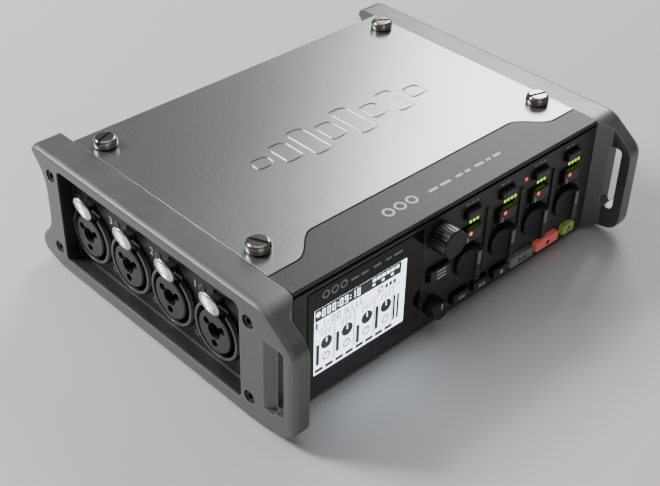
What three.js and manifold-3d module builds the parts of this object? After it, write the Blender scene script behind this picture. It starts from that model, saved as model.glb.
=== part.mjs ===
// Portable four-track field recorder: a flat metal box between two die-cast side frames,
// with four combination microphone sockets on the left, a control panel with a display and
// knobs at the front, outputs and a card door on the right and a battery sled at the back.
// Millimetres, +X to the recorder's right, +Y to its back, +Z up, standing on z = 0.

import * as THREE from "three";
import { mergeVertices } from "three/addons/utils/BufferGeometryUtils.js";
import Module from "manifold-3d";

const wasm = await Module();
wasm.setup();

// ---------------------------------------------------------------- driving dimensions
const GAP = 0.3; // between parts that touch
const STAND = 2.2; // frame face's lower edge above the table

// side frames
const WIDTH = 178.2;
const DEPTH = 141;
const FRAME_OUT = WIDTH / 2;
const FRAME_IN = 76.9;
const FRAME_TOP = 48.2;
const FRAME_LOW = -1.6;
const EDGE_IN = 1.8; // bevel, measured in the side face
const EDGE_DEEP = 2.6; // bevel, measured across the frame
const HANDLE_IN = 82; // inner face of the front handles
const FRONT = -DEPTH / 2;
const REAR = DEPTH / 2;
const WINDOW = { y0: -45.8, y1: 53.9, z0: 4.9, z1: 44.1 };
const STRAP_SLOT = { y0: -66.4, y1: -61, z0: 10, z1: 37 };
const FRAME_SCREWS = [[58.1, 39.7], [58.1, 8.4], [-49.9, 39.7], [-49.9, 8.4]];
const FRAME_SCREW_R = 2.6;

// skins of the box between the frames
const SKIN_X = FRAME_IN - GAP;
const COVER_TOP = 48.4;
const COVER_THICK = 1.2;
const COVER_REAR = 60.2;
const COVER_FRONT = -45.4;
const TONGUE = { half: 49.5, y: -35.8, shoulder: 65 }; // step where the hood reaches back
const HOOD_FRONT = -57;
const HOOD_LOW = 46.7;
const PANEL_FACE = -57;
const PANEL_THICK = 2;
const PANEL_TOP = 45.7;
const FLOOR_TOP = 1.2;
const FLOOR_LOW = -0.6;
const REAR_FACE = 62;
const REAR_THICK = 1.6;

// left side: combination sockets, on a panel set a little deeper than the right one
const INPUT_PANEL = 82.9;
const JACK_PANEL = 83.6;
const JACK_PANEL_THICK = 1.6;
const INPUT_COUNT = 4;
const INPUT_PITCH = 23.6;
const INPUT_FIRST_Y = -28.4;
const INPUT_Z = 19.8;
const INPUT_RIM = 84.6;
const TAB_X = 87.6;
const TAB_Z = 32.6;
const TAB_R = 4.9;
const TAB_TILT = 14;

// front panel controls; the keys stand 2.3 mm proud of the panel
const CHANNEL_COUNT = 4;
const CHANNEL_PITCH = 18.6;
const CHANNEL_FIRST_X = 6.2;
const KEY_PROUD = 2.3;
const KEY_BACK = -53;
const STEM_BACK = -47.6;
const KNOB_Z = 19.7;
const SKIRT_R = 7;
const GRIP_FRONT = -62.6;
const FUNCTION_KEY = { w: 7.6, h: 3.4, z: 40 };
const TRACK_KEY = { w: 9.4, h: 5.4, z: 31.3 };
const TRANSPORT_Z = 5.3;
const TRANSPORT_H = 4.2;
const ENCODER = { x: -10.7, z: 38.4, r: 5.6, front: -65.2, back: -58.2, shaft: 3 };
const MENU_KEY = { x: -9.8, z: 22.6, w: 10, h: 5.4 };
const PHONES_KNOB = { x: -11.8, z: 8.6, r: 4, front: -62.6, back: -57.6, shaft: 1.6 };
const LENS = { x0: -70.6, x1: -18, z0: 5.6, z1: 44.2 };
const SCREEN = { x0: -69.4, x1: -23.6, z0: 7.2, z1: 37.8 };

// right side: outputs, headphones and cards
const OUTPUT_Y = [16, -10];
const OUTPUT_Z = 23.5;
const PHONES_SOCKET = { y: -34, z: 23.5 };
const CARD_DOOR = { y0: 32, y1: 50, z0: 11, z1: 37 };

// back: battery sled, timecode and power
const SLED = { half: 54.5, y0: 28.6, z0: 2.4, z1: 35.6, wall: 1.6 };
const CELL_R = 7.25;
const CELL_LONG = 50.5;
const BNC = { x: -66, z: [34.5, 13.5], r: 4.8 };
const DC_INLET = { x: 66, z: 34.5, r: 6.2 };

// screws that hold the top cover
const COVER_SCREW = { x: 70, rear: 50, front: -33.2, r: 4.4, flat: 3.1, head: 3.4 };
const SLOT_TURNS = [115, -19, 19, -36]; // degrees from +X, as the screws were tightened

// ---------------------------------------------------------------- shapes and solids
function toSolid(geometry) {
  const bare = geometry.clone();
  bare.deleteAttribute("normal");
  bare.deleteAttribute("uv");
  const merged = mergeVertices(bare, 1e-4);
  return new wasm.Manifold(new wasm.Mesh({
    numProp: 3,
    vertProperties: new Float32Array(merged.attributes.position.array),
    triVerts: new Uint32Array(merged.index.array),
  }));
}

function toGeometry(solid) {
  const mesh = solid.getMesh();
  const geometry = new THREE.BufferGeometry();
  geometry.setAttribute("position", new THREE.BufferAttribute(mesh.vertProperties, 3));
  geometry.setIndex(new THREE.BufferAttribute(mesh.triVerts, 1));
  geometry.computeVertexNormals();
  return geometry;
}

function block(x0, x1, y0, y1, z0, z1) {
  const geometry = new THREE.BoxGeometry(x1 - x0, y1 - y0, z1 - z0);
  return toSolid(geometry.translate((x0 + x1) / 2, (y0 + y1) / 2, (z0 + z1) / 2));
}

// A round bar from one point to another along X, Y or Z.
function bar(axis, at, from, to, radius, sides = 16, endRadius = radius) {
  const geometry = new THREE.CylinderGeometry(endRadius, radius, to - from, sides);
  geometry.translate(0, (from + to) / 2, 0);
  if (axis === "x") geometry.rotateZ(-Math.PI / 2).translate(0, at[0], at[1]);
  if (axis === "y") geometry.translate(at[0], 0, at[1]);
  if (axis === "z") geometry.rotateX(Math.PI / 2).translate(at[0], at[1], 0);
  return toSolid(geometry);
}

function roundedRect(x0, x1, y0, y1, r) {
  const shape = new THREE.Shape();
  const quarter = Math.PI / 2;
  shape.absarc(x1 - r, y0 + r, r, -quarter, 0, false);
  shape.absarc(x1 - r, y1 - r, r, 0, quarter, false);
  shape.absarc(x0 + r, y1 - r, r, quarter, 2 * quarter, false);
  shape.absarc(x0 + r, y0 + r, r, 2 * quarter, 3 * quarter, false);
  shape.closePath();
  return shape;
}

// Extrude a shape drawn in (y, z) across X, or in (x, z) forwards from the plane y = back.
function acrossX(shape, x0, x1, options = {}) {
  const geometry = new THREE.ExtrudeGeometry(shape, {
    depth: x1 - x0, bevelEnabled: false, curveSegments: 4, ...options,
  });
  const turn = new THREE.Matrix4().makeBasis(
    new THREE.Vector3(0, 1, 0), new THREE.Vector3(0, 0, 1), new THREE.Vector3(1, 0, 0));
  return toSolid(geometry.applyMatrix4(turn).translate(x0, 0, 0));
}

function forwards(shape, back, front) {
  const geometry = new THREE.ExtrudeGeometry(shape, {
    depth: back - front, bevelEnabled: false, curveSegments: 3,
  });
  const turn = new THREE.Matrix4().makeBasis(
    new THREE.Vector3(1, 0, 0), new THREE.Vector3(0, 0, 1), new THREE.Vector3(0, -1, 0));
  return toSolid(geometry.applyMatrix4(turn).translate(0, back, 0));
}

function upwards(shape, z0, z1) {
  const geometry = new THREE.ExtrudeGeometry(shape, {
    depth: z1 - z0, bevelEnabled: false, curveSegments: 4,
  });
  return toSolid(geometry.translate(0, 0, z0));
}

function mirrored(solid) {
  return solid.mirror([1, 0, 0]);
}

function joined(solids) {
  return solids.reduce((sum, solid) => sum.add(solid));
}

function cut(solid, tools) {
  return tools.reduce((rest, tool) => rest.subtract(tool), solid);
}

// ---------------------------------------------------------------- materials
function material(color, roughness, metalness) {
  return new THREE.MeshStandardMaterial({ color, roughness, metalness });
}
const castMetal = () => material(0x77797a, 0.55, 0.6);
const coverSheet = () => material(0xa9a9ad, 0.45, 0.7);
const darkSheet = () => material(0x2c2c30, 0.5, 0.2);
const blackPlastic = () => material(0x17181a, 0.5, 0);
const rubber = () => material(0x111111, 0.9, 0);
const chrome = () => material(0xd8d6d2, 0.2, 1);
const boardGreen = () => material(0x1d5a38, 0.6, 0);
const glass = () => material(0x0c0d10, 0.1, 0);
const screenGlow = () => material(0xdfeaf2, 0.5, 0);
const greyKey = () => material(0x6d7072, 0.5, 0);
const redKey = () => material(0xc23b35, 0.5, 0);
const greenKey = () => material(0x5d7a2c, 0.5, 0);
const cellWrap = () => material(0xb58a3c, 0.4, 0.3);

const recorder = new THREE.Group();
recorder.position.z = STAND;

function piece(name, solid, look) {
  const mesh = new THREE.Mesh(toGeometry(solid), look);
  mesh.name = name;
  recorder.add(mesh);
}

// ---------------------------------------------------------------- side frames
// Outline of a frame seen from the side, in (y, z): level top, a slope down to the front
// handle, and two ears at the back with a shallow bay between them.
function frameOutline() {
  const s = new THREE.Shape();
  s.moveTo(-50, FRAME_LOW);
  s.lineTo(58, FRAME_LOW);
  s.lineTo(65.5, 0.2);
  s.quadraticCurveTo(REAR, 1.8, REAR, 5.6);
  s.quadraticCurveTo(REAR, 9, 66.4, 12.6);
  s.quadraticCurveTo(63.3, 15.6, 63.3, 20);
  s.lineTo(63.3, 30);
  s.quadraticCurveTo(63.3, 36.5, 67, 40.8);
  s.lineTo(REAR, 44.8);
  s.quadraticCurveTo(REAR, FRAME_TOP, 66.5, FRAME_TOP);
  s.lineTo(-52.5, FRAME_TOP);
  s.quadraticCurveTo(-56.5, FRAME_TOP, -59.5, 45.8);
  s.lineTo(-67, 40.4);
  s.quadraticCurveTo(FRONT, 38, FRONT, 34);
  s.lineTo(FRONT, 8);
  s.quadraticCurveTo(FRONT, 2.6, -65.5, 1.2);
  s.closePath();
  return s;
}

// The right-hand frame; the left one is its mirror image.
function sideFrame() {
  const bevelled = acrossX(frameOutline(), FRAME_IN - EDGE_DEEP - 2, FRAME_OUT - EDGE_DEEP, {
    curveSegments: 3, bevelEnabled: true, bevelSegments: 1,
    bevelSize: EDGE_IN, bevelOffset: -EDGE_IN, bevelThickness: EDGE_DEEP,
  });
  const inside = block(0, FRAME_IN, -DEPTH, DEPTH, -DEPTH, DEPTH);
  const w = WINDOW;
  const windowCut = acrossX(roundedRect(w.y0, w.y1, w.z0, w.z1, 2.4), 60, 100);

  // the handle in front of the panel is thinner, and reaches it through a slanted wall
  const relief = new THREE.Shape();
  relief.moveTo(0, PANEL_FACE);
  relief.lineTo(FRAME_IN, PANEL_FACE);
  relief.lineTo(HANDLE_IN, -61.5);
  relief.lineTo(HANDLE_IN, 2 * FRONT);
  relief.lineTo(0, 2 * FRONT);
  relief.closePath();
  const handleCut = upwards(relief, -60, 90);

  const slot = STRAP_SLOT;
  const slotCut = acrossX(roundedRect(slot.y0, slot.y1, slot.z0, slot.z1, 1.6), 60, 100);

  // finger scoops lead into the slot from both faces
  const outerScoop = new THREE.Shape();
  outerScoop.moveTo(FRAME_OUT + 1, -55.2);
  outerScoop.lineTo(FRAME_OUT - 2.3, slot.y1 + 0.2);
  outerScoop.lineTo(FRAME_OUT - 2.3, slot.y1 - 1);
  outerScoop.lineTo(FRAME_OUT + 1, slot.y1 - 1);
  outerScoop.closePath();
  const scoopCut = upwards(outerScoop, slot.z0 - 1.5, slot.z1);

  const screwCuts = FRAME_SCREWS.map(([y, z]) =>
    bar("x", [y, z], FRAME_OUT - 2.2, FRAME_OUT + 1, FRAME_SCREW_R, 12));
  const footGroove = block(79.4, 86.6, -44, 54, FRAME_LOW - 1, FRAME_LOW + 1);
  return cut(bevelled, [inside, windowCut, handleCut, slotCut, scoopCut, footGroove,
    ...screwCuts]);
}
const rightFrame = sideFrame();
piece("right_frame", rightFrame, castMetal());
piece("left_frame", mirrored(rightFrame), castMetal());

// Rubber strips in a groove under each frame.
const footStrip = block(79.7, 86.3, -43.7, 53.7, -STAND, FRAME_LOW + 0.7);
piece("right_foot_strip", footStrip, rubber());
piece("left_foot_strip", mirrored(footStrip), rubber());

// ---------------------------------------------------------------- top cover and hood
// The cover's front edge steps back in the middle, where the hood reaches over the top.
function coverFront(shape, y, tongueY, half, shoulder) {
  shape.lineTo(-shoulder, y);
  shape.bezierCurveTo(-shoulder + 6, y, -half - 6, tongueY, -half, tongueY);
  shape.lineTo(half, tongueY);
  shape.bezierCurveTo(half + 6, tongueY, shoulder - 6, y, shoulder, y);
}

function topCover() {
  const s = new THREE.Shape();
  s.moveTo(-SKIN_X, COVER_FRONT);
  coverFront(s, COVER_FRONT, TONGUE.y, TONGUE.half, TONGUE.shoulder);
  s.lineTo(SKIN_X, COVER_FRONT);
  s.lineTo(SKIN_X, COVER_REAR);
  s.lineTo(-SKIN_X, COVER_REAR);
  s.closePath();
  const sheet = upwards(s, COVER_TOP - COVER_THICK, COVER_TOP);
  const holes = screwPlaces().map(([x, y]) =>
    bar("z", [x, y], 40, 60, 2.1, 12));
  return cut(sheet, holes);
}

function frontHood() {
  const s = new THREE.Shape();
  s.moveTo(-SKIN_X, HOOD_FRONT);
  s.lineTo(SKIN_X, HOOD_FRONT);
  s.lineTo(SKIN_X, COVER_FRONT - GAP);
  s.lineTo(TONGUE.shoulder, COVER_FRONT - GAP);
  s.bezierCurveTo(TONGUE.shoulder - 6, COVER_FRONT - GAP, TONGUE.half + 6, TONGUE.y - GAP,
    TONGUE.half, TONGUE.y - GAP);
  s.lineTo(-TONGUE.half, TONGUE.y - GAP);
  s.bezierCurveTo(-TONGUE.half - 6, TONGUE.y - GAP, -TONGUE.shoulder + 6, COVER_FRONT - GAP,
    -TONGUE.shoulder, COVER_FRONT - GAP);
  s.lineTo(-SKIN_X, COVER_FRONT - GAP);
  s.closePath();
  const sheet = upwards(s, HOOD_LOW, COVER_TOP);
  const rib = block(-70, 70, -53.6, -51.6, 43.6, HOOD_LOW);
  return sheet.add(rib);
}

function screwPlaces() {
  const c = COVER_SCREW;
  return [[-c.x, c.front], [c.x, c.front], [-c.x, c.rear], [c.x, c.rear]];
}
piece("top_cover", topCover(), coverSheet());
piece("front_hood", frontHood(), darkSheet());

// Slotted screws with tall turned heads.
screwPlaces().forEach(([x, y], index) => {
  const c = COVER_SCREW;
  const low = COVER_TOP + GAP;
  const top = low + c.head;
  const head = bar("z", [x, y], low, top - 1.4, c.r, 24);
  const shoulder = bar("z", [x, y], top - 1.4, top - 0.5, c.r, 24, c.r - 0.5);
  const crown = bar("z", [x, y], top - 0.5, top, c.r - 0.5, 24, c.flat);
  const shank = bar("z", [x, y], 38.5, low + 0.2, 1.7, 12);
  const slotShape = new THREE.BoxGeometry(12, 1.4, 2.4);
  slotShape.rotateZ(THREE.MathUtils.degToRad(SLOT_TURNS[index])).translate(x, y, top - 0.2);
  const slotted = joined([head, shoulder, crown, shank]).subtract(toSolid(slotShape));
  piece(`top_screw_${index + 1}`, slotted, chrome());
});

// ---------------------------------------------------------------- bottom case
function bottomCase() {
  const floor = block(-SKIN_X, SKIN_X, PANEL_FACE + PANEL_THICK + GAP,
    REAR_FACE - REAR_THICK - GAP, FLOOR_LOW, FLOOR_TOP);
  const bosses = [];
  for (const x of [-50, 50]) {
    for (const y of [-36, 20]) bosses.push(bar("z", [x, y], FLOOR_TOP - 0.2, 7.6, 2.6, 12));
  }
  const bush = bar("z", [0, 0], FLOOR_TOP - 0.2, 7.2, 7, 20);
  const bore = bar("z", [0, 0], FLOOR_LOW - 1, 8, 4.9, 20);
  return cut(joined([floor, bush, ...bosses]), [bore]);
}
piece("bottom_case", bottomCase(), darkSheet());

// Threaded insert for a tripod, closed at the top.
const insert = bar("z", [0, 0], FLOOR_LOW, 6.9, 4.6, 20);
const thread = bar("z", [0, 0], FLOOR_LOW - 1, 6, 3.1, 20);
piece("tripod_insert", insert.subtract(thread), chrome());

// ---------------------------------------------------------------- front panel
function channelX(index) {
  return CHANNEL_FIRST_X + index * CHANNEL_PITCH;
}

const transportKeys = [
  { name: "rewind_key", x: 2.9, w: 8.4 },
  { name: "forward_key", x: 13.9, w: 8.4 },
  { name: "stop_key", x: 25, w: 8.4 },
  { name: "play_key", x: 37, w: 13.4 },
  { name: "record_key", x: 52.3, w: 13.4 },
  { name: "power_key", x: 65.4, w: 6.6 },
];

function keyShape(x, z, w, h, grow = 0) {
  return roundedRect(x - w / 2 - grow, x + w / 2 + grow, z - h / 2 - grow, z + h / 2 + grow,
    0.7 + grow);
}

// Cap in the panel's hole, a flange above and below behind the panel, and a stem.
function keySolid(x, z, w, h) {
  const cap = forwards(keyShape(x, z, w, h), KEY_BACK, PANEL_FACE - KEY_PROUD);
  const flange = block(x - w / 2, x + w / 2, KEY_BACK - 0.9, KEY_BACK,
    z - h / 2 - 0.8, z + h / 2 + 0.8);
  const stem = block(x - 1.1, x + 1.1, KEY_BACK - 0.2, STEM_BACK, z - 1.1, z + 1.1);
  return joined([cap, flange, stem]);
}

function frontPanel() {
  const back = PANEL_FACE + PANEL_THICK;
  const plate = forwards(roundedRect(-SKIN_X, SKIN_X, FLOOR_LOW, PANEL_TOP, 0.8),
    back, PANEL_FACE);
  const ribs = [];
  for (let i = 0; i < CHANNEL_COUNT - 1; i += 1) {
    const x = channelX(i) + CHANNEL_PITCH / 2;
    ribs.push(forwards(roundedRect(x - 1, x + 1, 9.6, 37.4, 0.9),
      PANEL_FACE + 0.2, PANEL_FACE - 0.8));
  }
  const tools = [];
  const opening = (shape) => tools.push(forwards(shape, back + 1, PANEL_FACE - 2));
  for (let i = 0; i < CHANNEL_COUNT; i += 1) {
    const x = channelX(i);
    opening(keyShape(x, FUNCTION_KEY.z, FUNCTION_KEY.w, FUNCTION_KEY.h, 0.4));
    opening(keyShape(x, TRACK_KEY.z, TRACK_KEY.w, TRACK_KEY.h, 0.4));
    tools.push(bar("y", [x, KNOB_Z], PANEL_FACE - 2, back + 1, 2.9));
  }
  for (const key of transportKeys) {
    opening(keyShape(key.x, TRANSPORT_Z, key.w, TRANSPORT_H, 0.4));
  }
  opening(keyShape(MENU_KEY.x, MENU_KEY.z, MENU_KEY.w, MENU_KEY.h, 0.4));
  tools.push(bar("y", [ENCODER.x, ENCODER.z], PANEL_FACE - 2, back + 1, ENCODER.shaft + 0.4));
  tools.push(bar("y", [PHONES_KNOB.x, PHONES_KNOB.z], PANEL_FACE - 2, back + 1,
    PHONES_KNOB.shaft + 0.4));
  opening(roundedRect(SCREEN.x0 + 0.8, SCREEN.x1 - 0.8, SCREEN.z0 + 0.8, SCREEN.z1 - 0.8, 0.6));
  tools.push(forwards(roundedRect(LENS.x0 - GAP, LENS.x1 + GAP, LENS.z0 - GAP, LENS.z1 + GAP,
    1.4), PANEL_FACE + 1.2, PANEL_FACE - 2));
  return cut(joined([plate, ...ribs]), tools);
}
piece("front_panel", frontPanel(), blackPlastic());

// ---------------------------------------------------------------- display
piece("display_window",
  forwards(roundedRect(LENS.x0, LENS.x1, LENS.z0, LENS.z1, 1.2),
    PANEL_FACE + 1.2 - GAP, PANEL_FACE - 0.2), glass());
piece("display_module", block(SCREEN.x0, SCREEN.x1, PANEL_FACE + PANEL_THICK + GAP, -48.6,
  SCREEN.z0, SCREEN.z1), screenGlow());

// ---------------------------------------------------------------- keys
for (let i = 0; i < CHANNEL_COUNT; i += 1) {
  const x = channelX(i);
  piece(`function_key_${i + 1}`,
    keySolid(x, FUNCTION_KEY.z, FUNCTION_KEY.w, FUNCTION_KEY.h), blackPlastic());
  piece(`track_key_${i + 1}`,
    keySolid(x, TRACK_KEY.z, TRACK_KEY.w, TRACK_KEY.h), blackPlastic());
}
const transportLooks = { play_key: greyKey, record_key: redKey, power_key: greenKey };
for (const key of transportKeys) {
  const look = transportLooks[key.name] ?? blackPlastic;
  piece(key.name, keySolid(key.x, TRANSPORT_Z, key.w, TRANSPORT_H), look());
}
piece("menu_key", keySolid(MENU_KEY.x, MENU_KEY.z, MENU_KEY.w, MENU_KEY.h), blackPlastic());

// ---------------------------------------------------------------- knobs
// Round skirt with an upright finger grip across it, and its shaft.
for (let i = 0; i < CHANNEL_COUNT; i += 1) {
  const at = [channelX(i), KNOB_Z];
  const skirt = bar("y", at, PANEL_FACE - 1.7, PANEL_FACE - 0.4, SKIRT_R, 24);
  const grip = forwards(roundedRect(at[0] - 1.2, at[0] + 1.2, KNOB_Z - 7, KNOB_Z + 7, 1),
    PANEL_FACE - 1.5, GRIP_FRONT);
  const shaft = bar("y", at, PANEL_FACE - 0.6, STEM_BACK, 2.5, 16);
  piece(`track_knob_${i + 1}`, joined([skirt, grip, shaft]), blackPlastic());
}

// The menu encoder turns on a shaft, which is pushed in with it.
const encoderAt = [ENCODER.x, ENCODER.z];
piece("encoder_shaft",
  bar("y", encoderAt, ENCODER.front + 2.3, STEM_BACK, ENCODER.shaft, 16), chrome());
const encoderBody = bar("y", encoderAt, ENCODER.front, ENCODER.back, ENCODER.r - 0.3, 28,
  ENCODER.r);
const encoderBore = bar("y", encoderAt, ENCODER.front + 2, ENCODER.back + 1,
  ENCODER.shaft + GAP, 16);
piece("encoder_knob", encoderBody.subtract(encoderBore), blackPlastic());

const phonesAt = [PHONES_KNOB.x, PHONES_KNOB.z];
piece("headphone_knob", joined([
  bar("y", phonesAt, PHONES_KNOB.front, PHONES_KNOB.back, PHONES_KNOB.r - 0.2, 24,
    PHONES_KNOB.r),
  bar("y", phonesAt, PHONES_KNOB.back - 0.2, STEM_BACK, PHONES_KNOB.shaft, 12),
]), blackPlastic());

// ---------------------------------------------------------------- left side: inputs
function inputY(index) {
  return INPUT_FIRST_Y + index * INPUT_PITCH;
}

function leftJackPanel() {
  const w = WINDOW;
  const plate = acrossX(roundedRect(w.y0 + GAP, w.y1 - GAP, w.z0 + GAP, w.z1 - GAP, 2.1),
    -INPUT_PANEL, -INPUT_PANEL + JACK_PANEL_THICK);
  const tools = [];
  for (let i = 0; i < INPUT_COUNT; i += 1) {
    const y = inputY(i);
    tools.push(bar("x", [y, INPUT_Z], -90, -70, 10.9, 24));
    tools.push(block(-90, -70, y - 2.8, y + 2.8, TAB_Z - 3, TAB_Z + 2.2));
  }
  return cut(plate, tools);
}
piece("left_jack_panel", leftJackPanel(), blackPlastic());

// Ring, the gap that takes a plug's sleeve, and the insert with its central bore.
for (let i = 0; i < INPUT_COUNT; i += 1) {
  const at = [inputY(i), INPUT_Z];
  const ring = bar("x", at, -INPUT_RIM, -INPUT_PANEL - GAP, 11.4, 24);
  const body = bar("x", at, -INPUT_RIM, -61, 10.5, 24);
  const sleeveGap = bar("x", at, -INPUT_RIM - 1, -INPUT_RIM + 9, 9.4, 24);
  const core = bar("x", at, -INPUT_RIM - 0.9, -70, 7.6, 24);
  const bore = bar("x", at, -90, -63.5, 3.25, 16);
  const tabNotch = block(-90, -INPUT_RIM + 1.3, at[0] - 5.8, at[0] + 5.8,
    INPUT_Z + 7.9, INPUT_Z + 14);
  const shell = cut(joined([ring, body]), [sleeveGap]);
  piece(`input_jack_${i + 1}`, cut(shell.add(core), [bore, tabNotch]), blackPlastic());
}

// Round paddles, leaning out at the top, that release a locked plug.
for (let i = 0; i < INPUT_COUNT; i += 1) {
  const disc = new THREE.CylinderGeometry(TAB_R, TAB_R, 1.3, 24);
  disc.rotateZ(Math.PI / 2 + THREE.MathUtils.degToRad(TAB_TILT));
  disc.translate(-TAB_X + 0.65, inputY(i), TAB_Z);
  const y = inputY(i);
  const stem = block(-TAB_X + 0.6, -79, y - 2, y + 2, TAB_Z - 1, TAB_Z + 1.4);
  piece(`release_tab_${i + 1}`, toSolid(disc).add(stem), chrome());
}

// ---------------------------------------------------------------- right side
function rightJackPanel() {
  const w = WINDOW;
  const plate = acrossX(roundedRect(w.y0 + GAP, w.y1 - GAP, w.z0 + GAP, w.z1 - GAP, 2.1),
    JACK_PANEL - JACK_PANEL_THICK, JACK_PANEL);
  const tools = OUTPUT_Y.map((y) => bar("x", [y, OUTPUT_Z], 70, 90, 10.9, 24));
  tools.push(bar("x", [PHONES_SOCKET.y, PHONES_SOCKET.z], 70, 90, 5.6, 20));
  const d = CARD_DOOR;
  tools.push(acrossX(roundedRect(d.y0 - GAP, d.y1 + GAP, d.z0 - GAP, d.z1 + GAP, 1), 70, 90));
  return cut(plate, tools);
}
piece("right_jack_panel", rightJackPanel(), blackPlastic());

// Balanced outputs: a round well with three contact pins standing in it.
OUTPUT_Y.forEach((y, index) => {
  const at = [y, OUTPUT_Z];
  const ring = bar("x", at, INPUT_RIM - 0.7, INPUT_RIM, 12.4, 24);
  const body = bar("x", at, 61, INPUT_RIM, 10.5, 24);
  const well = bar("x", at, 70, 90, 9.4, 24);
  const pins = [0, 1, 2].map((n) => {
    const turn = Math.PI * (0.5 + n * 0.62 - 0.62);
    const spot = [y + 4.6 * Math.cos(turn), OUTPUT_Z - 4.6 * Math.sin(turn)];
    return bar("x", spot, 69, INPUT_RIM - 2.6, 1.2, 10);
  });
  piece(`output_jack_${index + 1}`, joined([cut(joined([ring, body]), [well]), ...pins]),
    blackPlastic());
});

const phonesSocketAt = [PHONES_SOCKET.y, PHONES_SOCKET.z];
piece("headphone_jack", cut(joined([
  bar("x", phonesSocketAt, INPUT_RIM - 0.7, INPUT_RIM + 1.2, 6.8, 20),
  bar("x", phonesSocketAt, 61, INPUT_RIM, 5.2, 20),
]), [bar("x", phonesSocketAt, 64, 90, 3.25, 16)]), blackPlastic());

// Door over the two card slots, hinged along its lower edge.
const door = CARD_DOOR;
const doorPlate = acrossX(
  roundedRect(door.y0, door.y1, door.z0, door.z1, 0.8), JACK_PANEL - 1.4, JACK_PANEL + 0.4);
const doorLip = block(JACK_PANEL + 0.2, JACK_PANEL + 1.4, door.y0 + 5, door.y1 - 5,
  door.z1 - 2.6, door.z1 - 1);
piece("card_door", doorPlate.add(doorLip), rubber());

function cardSocket() {
  const shell = block(58, JACK_PANEL - 2.2, door.y0 + 0.5, door.y1 - 0.5,
    door.z0 + 1.5, door.z1 - 1);
  const cards = [0, 1].map((n) => {
    const y = door.y0 + 4 + n * 6.4;
    return block(62, 90, y, y + 3.4, door.z0 + 2.5, door.z1 - 2);
  });
  return cut(shell, cards);
}
piece("card_socket", cardSocket(), chrome());

// ---------------------------------------------------------------- back
function rearPanel() {
  const back = REAR_FACE;
  const plate = forwards(roundedRect(-SKIN_X, SKIN_X, FLOOR_LOW, FRAME_TOP - 1.4, 0.8),
    back, back - REAR_THICK);
  const s = SLED;
  const tools = [forwards(roundedRect(-s.half - 0.4, s.half + 0.4, s.z0 - 0.4, s.z1 + 0.4, 0.5),
    back + 1, back - REAR_THICK - 1)];
  for (const z of BNC.z) tools.push(bar("y", [BNC.x, z], 50, 70, BNC.r + 0.3, 20));
  tools.push(bar("y", [DC_INLET.x, DC_INLET.z], 50, 70, DC_INLET.r + 0.3, 20));
  return cut(plate, tools);
}
piece("rear_panel", rearPanel(), blackPlastic());

// Timecode sockets with bayonet lugs.
BNC.z.forEach((z, index) => {
  const at = [BNC.x, z];
  const barrel = joined([
    bar("y", at, 54.4, 69.4, BNC.r, 20),
    bar("y", at, REAR_FACE + 0.3, REAR_FACE + 1.9, 6.6, 6),
    bar("x", [67.2, z], BNC.x - 5.6, BNC.x + 5.6, 0.9, 8),
  ]);
  const well = bar("y", at, 62, 71, 3.8, 20);
  const contact = bar("y", at, 61.5, 68, 1, 10);
  const name = index === 0 ? "timecode_socket_in" : "timecode_socket_out";
  piece(name, barrel.subtract(well).add(contact), chrome());
});

const inletAt = [DC_INLET.x, DC_INLET.z];
const inletPins = [[-1, -1], [1, -1], [-1, 1], [1, 1]].map(([px, pz]) =>
  bar("y", [DC_INLET.x + 1.7 * px, DC_INLET.z + 1.7 * pz], 57, 63.5, 0.6, 8));
piece("dc_inlet", joined([
  cut(joined([
    bar("y", inletAt, 54.4, 65.4, DC_INLET.r, 20),
    bar("y", inletAt, REAR_FACE + 0.3, REAR_FACE + 1.5, 7.8, 24),
  ]), [bar("y", inletAt, 58, 70, 4.9, 20)]),
  ...inletPins,
]), chrome());

// Battery sled: an open tray for eight cells behind a finger plate.
function batterySled() {
  const s = SLED;
  const outside = block(-s.half, s.half, s.y0, REAR_FACE - 1, s.z0, s.z1);
  const inside = block(-s.half + s.wall, s.half - s.wall, s.y0 + s.wall, REAR_FACE - 2.8,
    s.z0 + s.wall, s.z1 + 5);
  const plate = forwards(roundedRect(-s.half, s.half, s.z0, s.z1, 1.4),
    REAR_FACE + 0.4, REAR_FACE - 2);
  const grip = forwards(roundedRect(-14, 14, 10, 28, 3), REAR_FACE + 2.4, REAR_FACE);
  const hollow = forwards(roundedRect(-11, 11, 16, 25, 2), REAR_FACE + 3, REAR_FACE - 1);
  return cut(joined([outside.subtract(inside), plate, grip]), [hollow]);
}
piece("battery_sled", batterySled(), blackPlastic());

// Eight AA cells, two long, two deep and two high.
function batteryCells() {
  const cells = [];
  const pitch = 2 * CELL_R - 0.4;
  const y0 = (SLED.y0 + SLED.wall + REAR_FACE - 2.8) / 2;
  const z0 = SLED.z0 + SLED.wall + GAP + CELL_R;
  for (const dy of [-0.5, 0.5]) {
    for (const dz of [0, 1]) {
      const at = [y0 + dy * pitch, z0 + dz * pitch];
      cells.push(bar("x", at, -CELL_LONG, CELL_LONG, CELL_R, 16));
    }
  }
  return joined(cells);
}
piece("battery_cells", batteryCells(), cellWrap());

// ---------------------------------------------------------------- circuit boards
function mainBoard() {
  const board = block(-56, 56, -42, 26, 7.9, 9.5);
  const shield = block(-20, 24, -30, 8, 9.3, 14);
  const coil = bar("z", [40, -20], 9.3, 17, 5, 16);
  return joined([board, shield, coil]);
}
piece("main_board", mainBoard(), boardGreen());
piece("control_board", block(-19, 72, -46, -44.4, 2.4, 43), boardGreen());

export default recorder;
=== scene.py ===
"""Looks of the portable field recorder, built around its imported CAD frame."""

import math

import bmesh
import bpy
import numpy as np
from mathutils import Matrix, Vector


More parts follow.
